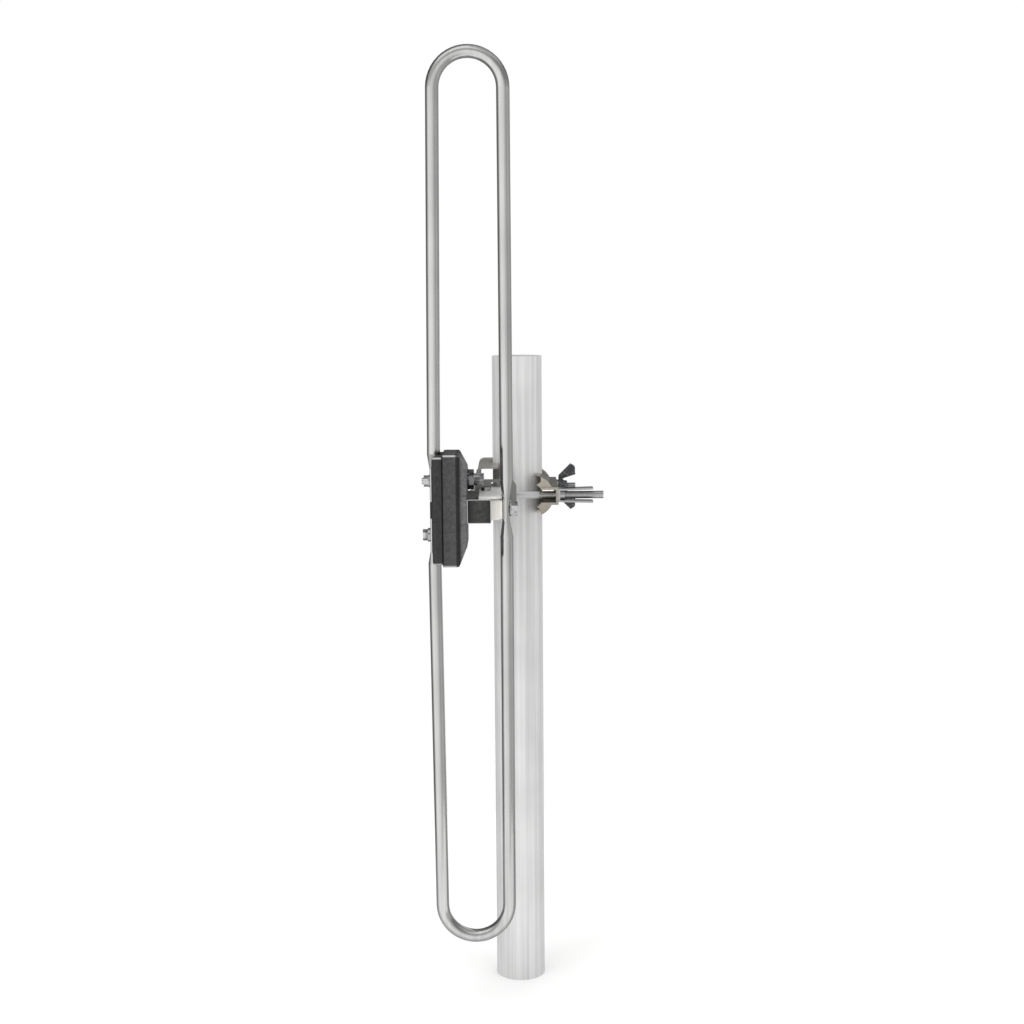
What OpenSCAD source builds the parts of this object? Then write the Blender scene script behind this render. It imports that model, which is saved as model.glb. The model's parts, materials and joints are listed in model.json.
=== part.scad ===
// Vertical folded-dipole antenna on a short boom, clamped to a round mast.
// Millimetres, +Z up. The origin is on the mast's axis, level with the clamp bolts.
// +X points from the box towards the wing nuts, and -Y is the front of the antenna.

/* [Mast] */
// Outside diameter of the mast tube
mast_d = 42; // [40:0.5:46]
// Wall of the mast tube
mast_wall = 2; // [1.5:0.1:3]
// Length of mast above the clamp bolts
mast_top = 115; // [60:1:200]
// Length of mast below the clamp bolts
mast_drop = 429; // [200:1:600]

/* [Dipole loop] */
// Height of the loop over both bends
loop_h = 720; // [600:1:900]
// Distance between the legs at the bends, centre to centre
bend_gap = 54.8; // [50:0.1:60]
// Outside diameter of the loop's tube
tube_d = 10.5; // [9:0.1:11]
// Wall of the loop's tube
tube_wall = 1; // [0.8:0.05:1.3]
// Gap left inside the tube where it is pressed flat
press_gap = 0.3; // [0.2:0.05:0.5]
// Gap between the two flat ends beside the box
split_gap = 13.6; // [10:0.1:18]
// Height above the boom's axis where the split leg starts to flatten
end_taper_top = 44; // [42:0.5:60]
// Height above the boom's axis where the split leg is flat
end_taper_low = 33; // [30:0.5:36]
// Height above the boom's axis where the bolted leg starts to flatten
waist_taper_top = 23; // [16:0.5:40]
// Height above the boom's axis where the bolted leg is pressed
waist_taper_low = 9.5; // [9:0.1:14]
// Thickness of the bolted leg where it is pressed
waist_t = 6; // [4:0.1:8]
// Sideways offset of the bolted leg's axis from its pressed waist
waist_offset = 0.5; // [0:0.05:1.5]
// Sideways offset of the split leg's axis from its flat ends
end_offset = 1.9; // [0:0.1:3]
// Sideways offset of both bends from the middle between the legs
bend_shift = 1.1; // [-1:0.1:1.5]

/* [Junction box] */
// Height of the box over its cover
box_h = 89; // [87:0.5:96]
// Height of the box's middle above the boom's axis
box_up = 1; // [0:0.1:2]
// Depth of the box, front to back
box_depth = 50; // [46:0.5:60]
// Thickness of the base shell
base_t = 8.2; // [8:0.1:12]
// Thickness of the cover's straight part
cover_t = 12.4; // [10:0.1:16]
// Thickness of the cover's dome
dome_t = 6.7; // [5:0.1:9]
// Height of the dome's flat face above the boom's axis
dome_face_up = 33; // [28:0.5:36]
// Depth of the dome's flat face below the boom's axis
dome_face_down = 27.5; // [25:0.5:36]
// Amount by which the dome's flat face is narrower than the box, on each side
dome_side = 3.5; // [2:0.1:5]
// Amount by which the base shell is lower than the cover, at each end
base_step = 1.7; // [1:0.1:3]
// Wall of the shells
shell_wall = 2.6; // [2:0.1:3.2]
// Width of the rim on which the shells meet
rim_w = 4; // [3.4:0.1:5]
// Radius of the box's corners
box_corner = 4; // [3:0.1:6]
// Radius of the base shell's outer edge
box_edge = 3.2; // [2:0.1:4.5]
// Thickness and width of the seal's cord
seal_t = 1.4; // [1:0.1:1.8]
// Thickness of the circuit board
board_t = 1.6; // [1:0.1:2]
// Height of the circuit board
board_h = 54; // [50:0.5:56]
// Height above the boom's axis of each terminal screw
terminal_z = 21.6; // [19:0.1:23]
// Diameter of the terminal screws
terminal_d = 5; // [4:0.1:5.5]

/* [Coax socket] */
// Diameter of the socket's thread
socket_d = 9.5; // [9:0.1:10]
// Length of free thread on the socket
socket_free = 8; // [6:0.1:10]
// Height of the socket above the boom's axis
socket_up = 22.3; // [20:0.1:23]
// Distance of the socket in front of the box's rear side
socket_edge = 12; // [11.5:0.1:14]
// Diameter of the socket's toothed lock washer
star_d = 16.6; // [14:0.1:17]
// Width across the flats of the socket's nut
socket_nut_af = 14; // [13:0.1:14.5]

/* [Boom] */
// Width of the square boom
boom_w = 19; // [18:0.1:21]
// Wall of the boom
boom_wall = 1.2; // [1:0.05:1.6]
// Distance between the mast's axis and the loop's plane
reach = 95; // [90:0.5:130]
// Distance of the boom's front end behind the box's front side
boom_inset = 7; // [1:0.5:9]
// Depth of the boom's plugs inside the tube
plug_depth = 9; // [6:0.1:9.5]
// Distance of the boom's axis below the clamp bolts
boom_drop = 3; // [1:0.1:4]
// Thickness of the spacer between boom and leg
spacer_t = 8.6; // [8:0.1:16]
// Height of the spacer
spacer_h = 16.6; // [14:0.1:17]
// Depth of the spacer, front to back
spacer_depth = 18; // [15:0.5:22]
// Diameter of the bolt through boom, spacer and leg
leg_bolt_d = 6; // [5:0.1:6.5]

/* [Clamp] */
// Thickness of the clamp's steel sheet
sheet_t = 2; // [1.5:0.1:2.5]
// Diameter of the clamp bolts
bolt_d = 6; // [5:0.1:7]
// Gap between the mast and each clamp bolt
bolt_gap = 7; // [5:0.1:12]
// Length of each jaw beyond its bolts
jaw_end = 7.5; // [6.5:0.1:12]
// Height of the inner jaw above the bolts
jaw_up = 25; // [22:0.5:34]
// Height of the inner jaw below the bolts
jaw_down = 18; // [16:0.5:28]
// Gap between the mast and the web of the inner jaw
inner_back = 10.5; // [6:0.1:14]
// Bend radius of the inner jaw
jaw_bend = 5; // [3:0.1:7]
// Gap between the mast and the web of the outer jaw
outer_back = 10.8; // [10:0.1:14]
// Height of the outer jaw's channel
channel_h = 14.6; // [13.6:0.1:17]
// Distance of the channel's mouth from the mast's axis
channel_mouth = 19.2; // [17:0.1:22]
// Radius of the outer jaw's curved fins
fin_r = 17; // [16:0.1:19]
// Distance of the fins' centre of curvature from the mast's axis
fin_centre = 13; // [11:0.1:13]
// Distance of the jaws' tips from the mast's axis
jaw_tip = 15.9; // [15:0.1:17]
// Length of one tooth along the jaws
tooth_pitch = 3; // [2:0.1:4]
// Depth of the jaws' teeth
tooth_depth = 1.6; // [1:0.1:2]
// Gap between the teeth and the mast
jaw_gap = 0.25; // [0.2:0.05:0.5]
// Length of the near clamp bolt under its head
near_bolt_l = 107; // [96:1:120]
// Length of the far clamp bolt under its head
far_bolt_l = 86; // [84:1:100]
// Length of the near thumb nut's arms
arm_l = 29; // [24:0.5:31]
// Distance between the near thumb nut's arms at their ends
arm_gap = 12.6; // [12.2:0.1:14]
// Width of the near thumb nut's strip
strip_w = 12; // [11:0.1:14]
// Span of the far wing nut
wing_span = 40; // [34:0.5:46]
// Height of the far wing nut
wing_h = 15; // [13:0.5:18]

/* [Boom bracket] */
// Width of the bracket's tongue
tongue_w = 18; // [16:0.1:19]
// Overlap of the tongue on the boom
tongue_lap = 9.8; // [9.4:0.1:10]
// Height of the bracket's front wall above the boom
wall_h = 8.1; // [7:0.1:12]
// Gap between the inner jaw and the bracket's front wall
wall_gap = 2; // [1:0.1:4]
// Distance of the bracket's screw in front of its front wall
screw_front = 26; // [14:0.5:28]
// Diameter of the bracket's screw
screw_d = 5; // [4:0.1:5.4]

/* [Hidden] */

$fn = 64;
soft_fn = 32;
bend_fn = 48;
tube_fn = 24;
eps = 0.01;
hole_play = 0.3;
running_play = 0.1;
plug_play = 0.2;
hex_ratio = 2 / sqrt(3);

// Mast and clamp, from the mast's axis outwards
mast_r = mast_d / 2;
bolt_y = mast_r + bolt_gap + bolt_d / 2;
jaw_half = bolt_y + jaw_end;
v_angle = 30;
v_apex = (mast_r + jaw_gap) / cos(v_angle);
inner_web = -(mast_r + inner_back);
outer_web = mast_r + outer_back;
outer_face = outer_web + sheet_t;
bracket_side = inner_web - 2 * sheet_t;
bracket_front = -(jaw_half + wall_gap + sheet_t);
bolt_head_h = 0.65 * bolt_d;
bolt_head_af = 5 * bolt_d / 3;
far_washer_t = 1.6;

// Boom, along the front of the mast
boom_z = -boom_drop;
boom_side_gap = 0.2;
boom_right = -(mast_r + boom_side_gap);
boom_left = boom_right - boom_w;
boom_x = (boom_left + boom_right) / 2;
boom_top = boom_z + boom_w / 2;
loop_y = -reach;
boom_y0 = loop_y - box_depth / 2 + boom_inset;
boom_y1 = bracket_front - 4;
plug_w = boom_w - 2 * boom_wall - plug_play;

// Box, from the boom outwards to the left
box_z = boom_z + box_up;
dome_x = boom_left;
dome_base_x = dome_x - dome_t;
cover_x0 = dome_base_x - cover_t;
base_x0 = cover_x0 - base_t;
base_h = box_h - 2 * base_step;
dome_face_w = box_depth - 2 * dome_side;
part_chamfer = 0.5;
cavity_h = base_h - 2 * rim_w;
cavity_w = box_depth - 2 * rim_w;
end_block = 11;
cover_edge_r = 2.4;
board_x1 = cover_x0 - part_chamfer;
board_x0 = board_x1 - board_t;
boss_d = terminal_d + 5;
floor_x = base_x0 + shell_wall;

// Loop, fitted to the box on the left and to the spacer on the right
flat_t = 2 * tube_wall + press_gap;
flat_mid = flat_t - tube_wall;
flat_w = PI * (tube_d - tube_wall - flat_mid) / 2 + flat_mid + tube_wall;
left_flat = base_x0 - flat_t / 2;
left_leg = left_flat + end_offset;
spacer_x1 = boom_right + spacer_t;
waist_w = waist_t + PI * (tube_d - waist_t) / 2;
right_flat = spacer_x1 + waist_t / 2;
right_leg = right_flat + waist_offset;
loop_x = (left_leg + right_leg) / 2 + bend_shift;
left_reach = loop_x - left_leg;
right_reach = right_leg - loop_x;
bend_r = bend_gap / 2;
bend_z = loop_h / 2 - tube_d / 2 - bend_r;

// Terminal hardware
nut_h = 0.8 * terminal_d;
nut_af = 1.6 * terminal_d;
washer_t = 1;
washer_d = 2 * terminal_d + 1;
flat_face = base_x0 - flat_t;
terminal_tip = 1.6;
terminal_sleeve = 2.2;

// Leg bolt hardware
leg_nut_h = 5;
leg_nut_af = 5 * leg_bolt_d / 3;
leg_washer_t = 1.2;
leg_washer_d = 2 * leg_bolt_d + 0.5;
leg_head_h = 3.5;
leg_face = spacer_x1 + waist_t;
leg_tip = 0.8;
dome_wall_x = dome_x - shell_wall;

// Coax socket
socket_z = boom_z + socket_up;
socket_back = box_depth / 2 - socket_edge;
socket_y = loop_y + socket_back;
star_t = 1;
socket_nut_t = 4;
socket_flange_t = 2;
socket_x1 = dome_x + star_t + socket_nut_t;
socket_end = socket_x1 + socket_free;
socket_bore = 6;
shank_d = socket_d + 0.6;
contact_d = 1.2;

// Bracket
tongue_x0 = boom_right - tongue_lap;
tongue_x1 = tongue_x0 + tongue_w;
tongue_top = boom_top + sheet_t;
screw_x = (tongue_x0 + boom_right) / 2;
screw_y = bracket_front - screw_front;

// Balun on the circuit board
core_d = 13;
core_hole = 6.4;
core_h = 5;
core_y = loop_y - 9;
core_z = boom_z;
wire_d = 0.6;
winding_turns = 8;

// Bar with its axis along X
module x_rod(x0, x1, d) {
    translate([x0, 0, 0]) rotate([0, 90, 0]) cylinder(h = x1 - x0, d = d);
}

// Hexagonal bar with its axis along X
module x_hex(x0, x1, af) {
    translate([x0, 0, 0]) rotate([0, 90, 0]) cylinder(h = x1 - x0, d = af * hex_ratio, $fn = 6);
}

// Ring with its axis along X
module x_ring(x0, x1, outer_d, inner_d) {
    difference() {
        x_rod(x0, x1, outer_d);
        x_rod(x0 - eps, x1 + eps, inner_d);
    }
}

// Hexagonal nut with its axis along X
module x_nut(x0, x1, af, bore_d) {
    difference() {
        x_hex(x0, x1, af);
        x_rod(x0 - eps, x1 + eps, bore_d);
    }
}

// Flat outline in Y and Z, extruded along X
module along_x(x0, x1) {
    translate([x0, 0, 0]) rotate([90, 0, 90]) linear_extrude(x1 - x0) children();
}

// Flat outline in X and Z, extruded along Y
module along_y(y0, y1) {
    translate([0, y1, 0]) rotate([90, 0, 0]) linear_extrude(y1 - y0) children();
}

// Rectangle with round corners, centred
module round_rect(w, h, r) {
    square([w - 2 * r, h], center = true);
    square([w, h - 2 * r], center = true);
    for (sx = [-1, 1], sy = [-1, 1])
        translate([sx * (w / 2 - r), sy * (h / 2 - r)]) circle(r = r);
}

// Slot with round ends, centred, its length along the first axis
module slot(len, w) {
    square([len - w, w], center = true);
    for (s = [-1, 1]) translate([s * (len - w) / 2, 0]) circle(d = w);
}

// Tangent angle between a bend and a leg that ends at half gap w, height z
function lean(w, z) = atan2(w, bend_z - z) - asin(bend_r / norm([w, bend_z - z]));

// Length of that leg
function leg_length(w, z) = sqrt(w * w + pow(bend_z - z, 2) - bend_r * bend_r);

// Straight leg from its bend down to half gap w, height z; side is -1 or 1
module leg(side, w, z) {
    a = lean(w, z);
    lap = 0.5;
    inset = 0.04;
    len = leg_length(w, z) + lap;
    translate([side * bend_r * cos(a), 0, bend_z + bend_r * sin(a)])
        rotate([0, 180 - side * a, 0]) translate([0, 0, -lap]) difference() {
            cylinder(h = len, d = tube_d - inset, $fn = tube_fn);
            translate([0, 0, -eps])
                cylinder(h = len + 2 * eps, d = tube_d - 2 * tube_wall + inset, $fn = tube_fn);
        }
}

// Bend and both legs of the loop's upper half
module half_loop() {
    a0 = lean(right_reach, waist_taper_top);
    a1 = lean(left_reach, end_taper_top);
    translate([0, 0, bend_z]) rotate([90, 0, 0]) rotate([0, 0, a0])
        rotate_extrude(angle = 180 - a0 - a1, $fn = bend_fn)
            translate([bend_r, 0]) difference() {
                circle(d = tube_d, $fn = tube_fn);
                circle(d = tube_d - 2 * tube_wall, $fn = tube_fn);
            }
    leg(1, right_reach, waist_taper_top);
    leg(-1, left_reach, end_taper_top);
}

// Tube pressed from round at z1 to width w and thickness t at z0, where it shifts sideways to x0
module pressed_taper(x1, z1, x0, z0, w, t) {
    skin = 0.3;
    inset = 0.05;
    hull() {
        translate([x1, 0, z1]) cylinder(h = skin, d = tube_d / cos(180 / tube_fn) + inset, $fn = tube_fn);
        for (s = [-1, 1]) translate([x0, s * (w - t) / 2, z0 - skin])
            cylinder(h = skin, d = t - inset, $fn = soft_fn / 2);
    }
}

// Pressed stretch of the tube from z0 to z1
module pressed_flat(x, z0, z1, w, t) {
    translate([x, 0, z0]) linear_extrude(z1 - z0) rotate(90) slot(w, t);
}

module half_dipole() {
    left_x = left_flat - loop_x;
    half_loop();
    pressed_taper(
        right_reach, waist_taper_top, right_flat - loop_x, waist_taper_low, waist_w, waist_t);
    pressed_taper(-left_reach, end_taper_top, left_x, end_taper_low, flat_w, flat_t);
    pressed_flat(left_x, split_gap / 2, end_taper_low, flat_w, flat_t);
}

// Slit that stays open inside the pressed end, from the split up to the round bore
module press_slit() {
    flat_x = left_flat - loop_x;
    slit_w = tube_d - 2 * tube_wall - 0.8;
    half = press_gap / 2;
    along_y(-slit_w / 2, slit_w / 2) polygon([
        [flat_x - half, 0], [flat_x + half, 0],
        [flat_x + half, end_taper_low], [half - left_reach, end_taper_top],
        [half - left_reach, end_taper_top + tube_d / 2],
        [-half - left_reach, end_taper_top + tube_d / 2],
        [-half - left_reach, end_taper_top], [flat_x - half, end_taper_low]]);
}

module dipole_tube() color([0.74, 0.74, 0.73]) {
    translate([loop_x, loop_y, boom_z]) difference() {
        union() {
            half_dipole();
            mirror([0, 0, 1]) half_dipole();
            pressed_flat(
                right_flat - loop_x, -waist_taper_low, waist_taper_low, waist_w, waist_t);
        }
        for (side = [0, 1]) mirror([0, 0, side]) press_slit();
        for (s = [-1, 1]) translate([0, 0, box_up + s * terminal_z])
            x_rod(-left_reach - tube_d, -left_reach + tube_d, terminal_d + hole_play);
        x_rod(right_reach - tube_d, right_reach + tube_d, leg_bolt_d + hole_play);
    }
}

// Flat outline in X and Y, extruded along Z through the whole box
module along_z(h) {
    linear_extrude(h, center = true) children();
}

// Outline between an upper edge and a lower edge, which is given as if it were above the axis
module edged_outline(upper, lower) {
    n = len(lower);
    polygon(concat(upper, [for (i = [1:n]) [lower[n - i][0], -lower[n - i][1]]]));
}

// Upper edge of the base shell, with its outer corner rounded
function base_edge(half) = concat(
    [for (a = [0:22.5:90]) [base_x0 + box_edge * (1 - cos(a)), half - box_edge * (1 - sin(a))]],
    [[cover_x0 - part_chamfer, half], [cover_x0, half - part_chamfer]]);

module base_shell() color([0.13, 0.13, 0.13]) {
    recess_w = flat_w + 1;
    recess_x = left_leg + tube_d / 2 + 0.6;
    difference() {
        union() {
            translate([0, loop_y, box_z]) intersection() {
                along_x(base_x0 - 1, cover_x0) round_rect(box_depth, base_h, box_corner);
                along_y(-box_depth, box_depth)
                    edged_outline(base_edge(base_h / 2), base_edge(base_h / 2));
                along_z(2 * box_h)
                    edged_outline(base_edge(box_depth / 2), base_edge(box_depth / 2));
            }
            translate([0, loop_y, boom_z]) along_x(base_x0 - flat_t, floor_x)
                square([flat_w, split_gap - 1], center = true);
        }
        translate([0, loop_y, box_z]) difference() {
            along_x(floor_x, cover_x0 + eps)
                round_rect(cavity_w, base_h - 2 * end_block, box_corner - 1);
            for (s = [-1, 1]) translate([0, 0, s * terminal_z]) x_rod(floor_x - eps, board_x0, boss_d);
        }
        for (s = [-1, 1]) {
            translate([0, loop_y, box_z + s * terminal_z])
                x_rod(base_x0 - 1, board_x0 + 1, terminal_d + hole_play);
            translate([0, loop_y, boom_z]) mirror([0, 0, s > 0 ? 0 : 1])
                along_y(-recess_w / 2, recess_w / 2) polygon([
                    [base_x0 - eps, end_taper_low - 1],
                    [recess_x, end_taper_top],
                    [recess_x, box_h],
                    [base_x0 - eps, box_h]]);
        }
    }
}

// Upper edge of the cover: straight part, rounded corner, then the dome down to its flat face
function cover_edge(half, face_half) = let (r = cover_edge_r) concat(
    [[cover_x0, half - part_chamfer], [cover_x0 + part_chamfer, half]],
    [for (a = [0:20:60]) [dome_base_x - r * (0.6 - sin(a)), half - r * (1 - cos(a))]],
    [[dome_x - 0.6, face_half + 1.2], [dome_x, face_half]]);

// Upper edge of the room inside the cover
function cover_room_edge(half, face_half) = [
    [cover_x0 - 1, half], [dome_base_x - shell_wall / 2, half],
    [dome_wall_x, face_half - shell_wall / 2]];

module cover_shell() color([0.15, 0.15, 0.15]) {
    face_half = box_depth / 2 - dome_side;
    face_up = dome_face_up - box_up;
    face_down = dome_face_down + box_up;
    arm_len = tongue_x0 - 0.5 - dome_x;
    arm_t = 2.2;
    arm_front = box_depth / 2 - boom_inset - 5;
    arm_back = socket_back + 8;
    saddle_half = box_depth / 2 - 0.8;
    saddle_up = boom_w / 2 + arm_t + 1;
    saddle_down = boom_w / 2 - 0.5;
    translate([0, loop_y, boom_z]) difference() {
        union() {
            translate([0, 0, box_up]) intersection() {
                along_x(cover_x0 - 1, dome_x + 1) round_rect(box_depth, box_h, box_corner);
                along_y(-box_depth, box_depth)
                    edged_outline(cover_edge(box_h / 2, face_up), cover_edge(box_h / 2, face_down));
                along_z(2 * box_h) edged_outline(
                    cover_edge(box_depth / 2, face_half), cover_edge(box_depth / 2, face_half));
            }
            translate([dome_base_x - 1, -saddle_half, -saddle_down])
                cube([dome_t + 1, 2 * saddle_half, saddle_up + saddle_down]);
            along_y(-arm_front, arm_back) polygon([
                [dome_x - dome_t / 2, saddle_up - 0.3],
                [dome_x - dome_t / 2, boom_w / 2],
                [dome_x + arm_len, boom_w / 2],
                [dome_x + arm_len, boom_w / 2 + arm_t / 2],
                [dome_x + arm_len - arm_t / 2, boom_w / 2 + arm_t],
                [dome_x + 1, boom_w / 2 + arm_t + 0.4]]);
        }
        translate([0, 0, box_up]) intersection() {
            along_y(-cavity_w / 2, cavity_w / 2) edged_outline(
                cover_room_edge(cavity_h / 2, face_up), cover_room_edge(cavity_h / 2, face_down));
            along_z(cavity_h) edged_outline(
                cover_room_edge(cavity_w / 2, face_half), cover_room_edge(cavity_w / 2, face_half));
        }
        translate([0, 0, box_up]) seal_groove();
        x_rod(dome_wall_x - 1, dome_x + 1, leg_bolt_d + hole_play);
        translate([0, socket_back, socket_up]) x_rod(dome_wall_x - 1, dome_x + 1, shank_d + hole_play);
    }
}

// Ring of the seal, in the cover's mating face
module seal_ring(x0, x1, w) {
    along_x(x0, x1) difference() {
        round_rect(cavity_w + rim_w + w, cavity_h + rim_w + w, box_corner);
        round_rect(cavity_w + rim_w - w, cavity_h + rim_w - w, box_corner - w);
    }
}

module seal_groove() {
    seal_ring(cover_x0 - eps, cover_x0 + seal_t, seal_t);
}

module lid_seal() color([0.06, 0.06, 0.06]) {
    translate([0, loop_y, box_z]) seal_ring(cover_x0, cover_x0 + seal_t, seal_t);
}

module circuit_board() color([0.1, 0.35, 0.18]) {
    board_w = cavity_w - 2;
    contact_hole = contact_d + hole_play;
    difference() {
        translate([0, loop_y, box_z]) along_x(board_x0, board_x1) round_rect(board_w, board_h, 2);
        for (s = [-1, 1])
            at_terminal(s) x_rod(board_x0 - 1, board_x1 + 1, terminal_d + hole_play);
        at_socket() x_rod(board_x0 - 1, board_x1 + 1, contact_hole);
    }
}

module balun_core() color([0.2, 0.2, 0.21]) {
    translate([0, core_y, core_z])
        x_ring(board_x1 + wire_d, board_x1 + wire_d + core_h, core_d, core_hole);
}

module balun_winding() color([0.72, 0.4, 0.2]) {
    mid = (core_d + core_hole) / 4;
    turn_r = norm([core_h / 2, (core_d - core_hole) / 4]) + wire_d / 2 + 0.02;
    flat = (core_h / 2 + wire_d / 2) / turn_r;
    translate([board_x1 + wire_d + core_h / 2, core_y, core_z])
        for (i = [0:winding_turns - 1]) rotate([360 * i / winding_turns, 0, 0])
            translate([0, 0, mid]) winding_turn(turn_r * flat);
}

// One square turn of wire round the core's section
module winding_turn(half) {
    wide = (core_d - core_hole) / 4 + wire_d / 2 + 0.02;
    rotate([90, 0, 0]) linear_extrude(wire_d, center = true) difference() {
        square([2 * half + wire_d, 2 * wide + wire_d], center = true);
        square([2 * half - wire_d, 2 * wide - wire_d], center = true);
    }
}

// Places its children on a terminal screw's axis; side is 1 for the upper one
module at_terminal(side) {
    translate([0, loop_y, box_z + side * terminal_z]) children();
}

module upper_terminal_screw() color([0.75, 0.75, 0.76]) at_terminal(1) {
    x_rod(flat_face - washer_t - nut_h - terminal_tip, board_x1, terminal_d);
    x_rod(board_x1 - eps, board_x1 + nut_h * 0.75, nut_af);
}

module upper_terminal_nut() color([0.72, 0.72, 0.73]) at_terminal(1)
    x_nut(flat_face - washer_t - nut_h, flat_face - washer_t, nut_af, terminal_d);

module upper_terminal_washer() color([0.7, 0.7, 0.71]) at_terminal(1)
    x_ring(flat_face - washer_t, flat_face, washer_d - 1, terminal_d + hole_play);

module lower_terminal_screw() color([0.75, 0.75, 0.76]) at_terminal(-1) {
    head_x = flat_face - terminal_sleeve;
    x_rod(head_x - eps, board_x1 + nut_h + 1, terminal_d);
    x_hex(head_x - nut_h, head_x, nut_af);
}

module lower_terminal_washer() color([0.7, 0.7, 0.71]) at_terminal(-1) {
    x_ring(flat_face - terminal_sleeve, flat_face, washer_d, terminal_d + hole_play);
}

module lower_terminal_nut() color([0.72, 0.72, 0.73]) at_terminal(-1)
    x_nut(board_x1, board_x1 + nut_h, nut_af, terminal_d);

// Places its children on the coax socket's axis
module at_socket() {
    translate([0, socket_y, socket_z]) children();
}

module coax_socket() color([0.82, 0.82, 0.83]) at_socket() difference() {
    union() {
        x_hex(dome_wall_x - socket_flange_t, dome_wall_x, socket_nut_af);
        x_rod(dome_wall_x - eps, socket_x1, shank_d);
        x_rod(socket_x1 - eps, socket_end, socket_d);
    }
    x_rod(dome_wall_x - socket_flange_t - 1, socket_end + 1, socket_bore);
}

module socket_insulator() color([0.92, 0.92, 0.9]) at_socket()
    x_ring(dome_wall_x - socket_flange_t, socket_end - 1.5, socket_bore, contact_d + hole_play);

module socket_contact() color([0.8, 0.62, 0.3]) at_socket()
    x_rod(board_x0 - 0.8, socket_end - 2, contact_d);

module socket_washer() color([0.82, 0.82, 0.83]) at_socket() {
    teeth = 14;
    tooth_w = 1.6;
    ring_d = star_d - 4;
    difference() {
        union() {
            x_rod(dome_x, dome_x + star_t, ring_d);
            for (i = [0:teeth - 1]) rotate([360 * i / teeth, 0, 0])
                translate([dome_x, -tooth_w / 2, 0]) cube([star_t, tooth_w, star_d / 2]);
        }
        x_rod(dome_x - 1, dome_x + star_t + 1, shank_d + hole_play);
    }
}

module socket_nut() color([0.82, 0.82, 0.83]) at_socket()
    x_nut(dome_x + star_t, socket_x1, socket_nut_af, shank_d);

module boom_tube() color([0.72, 0.72, 0.72]) difference() {
    translate([boom_x, 0, boom_z]) along_y(boom_y0, boom_y1) difference() {
        round_rect(boom_w, boom_w, boom_wall);
        round_rect(boom_w - 2 * boom_wall, boom_w - 2 * boom_wall, boom_wall / 2);
    }
    translate([0, loop_y, boom_z]) x_rod(boom_left - 1, boom_right + 1, leg_bolt_d + hole_play);
    translate([screw_x, screw_y, boom_z - boom_w])
        cylinder(h = 2 * boom_w, d = screw_d + hole_play);
}

// Plug with a flange that closes a boom end at y; dir points into the boom
module boom_plug(y, dir) {
    face_t = 2;
    wall = 1.6;
    dimple_r = 1.6;
    flange_t = 1;
    flange_w = boom_w - boom_wall;
    translate([boom_x, y, boom_z]) mirror([0, dir > 0 ? 0 : 1, 0]) difference() {
        union() {
            along_y(-flange_t, 0) round_rect(flange_w, flange_w, boom_wall / 2);
            along_y(-flange_t / 2, plug_depth) round_rect(plug_w, plug_w, boom_wall / 2);
        }
        along_y(face_t, plug_depth + 1) square(plug_w - 2 * wall, center = true);
        translate([0, -flange_t, 0]) rotate([90, 0, 0]) cylinder(h = 1.4, r = dimple_r, center = true);
    }
}

module boom_front_plug() color([0.1, 0.1, 0.1]) boom_plug(boom_y0, 1);

module boom_rear_plug() color([0.1, 0.1, 0.1]) boom_plug(boom_y1, -1);

module leg_spacer() color([0.86, 0.86, 0.84]) {
    seat_r = 40;
    seat = 0.6;
    translate([0, loop_y, boom_z]) difference() {
        union() {
            along_x(boom_right, spacer_x1 - 2) round_rect(spacer_depth, spacer_h, 2);
            along_x(boom_right + 1, spacer_x1) round_rect(flat_w + 1.4, spacer_h - 1.6, 2);
        }
        for (s = [-1, 1]) translate([spacer_x1 - 3, s * (spacer_depth / 2 + seat_r - seat), 0])
            rotate([0, 90, 0]) cylinder(h = 1, r = seat_r, center = true);
        x_rod(boom_right - 1, spacer_x1 + 1, leg_bolt_d + hole_play);
    }
}

// Places its children on the leg bolt's axis
module at_leg_bolt() {
    translate([0, loop_y, boom_z]) children();
}

module leg_bolt() color([0.78, 0.78, 0.79]) at_leg_bolt() {
    x_rod(dome_wall_x - eps, leg_face + leg_washer_t + leg_nut_h + leg_tip, leg_bolt_d);
    x_hex(dome_wall_x - leg_head_h, dome_wall_x, leg_nut_af);
}

module leg_washer() color([0.78, 0.78, 0.79]) at_leg_bolt()
    x_ring(leg_face, leg_face + leg_washer_t, leg_washer_d, leg_bolt_d + hole_play);

module leg_nut() color([0.8, 0.8, 0.81]) at_leg_bolt()
    x_nut(leg_face + leg_washer_t, leg_face + leg_washer_t + leg_nut_h, leg_nut_af, leg_bolt_d);

// One folded sheet: tongue on the boom, wall in front of the mast, side along the jaw
module boom_bracket() color([0.74, 0.75, 0.75]) {
    nose = boom_y0 + 3;
    nose_cut = 4;
    wall_top = boom_top + wall_h;
    wall_low = -bolt_head_af;
    slot_x = -19.6;
    slot_z = (tongue_top + wall_top) / 2 - 0.8;
    slot_l = 5.4;
    slot_w = 3.1;
    difference() {
        union() {
            translate([0, 0, boom_top]) linear_extrude(sheet_t) polygon([
                [tongue_x0, bracket_front + sheet_t],
                [tongue_x0, nose],
                [tongue_x1 - nose_cut, nose],
                [tongue_x1, nose + nose_cut],
                [tongue_x1, bracket_front + sheet_t]]);
            along_y(bracket_front, bracket_front + sheet_t) bracket_wall(wall_low, wall_top);
            translate([bracket_side, bracket_front, wall_low])
                cube([sheet_t, jaw_half - bracket_front, wall_top - wall_low]);
        }
        translate([screw_x, screw_y, boom_z]) cylinder(h = boom_w, d = screw_d + hole_play);
        translate([slot_x, bracket_front + sheet_t / 2, slot_z]) rotate([90, 0, 0])
            linear_extrude(2 * sheet_t, center = true) slot(slot_l, slot_w);
        clamp_bolt_holes(bracket_side - 1, bracket_side + sheet_t + 1);
    }
}

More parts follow.
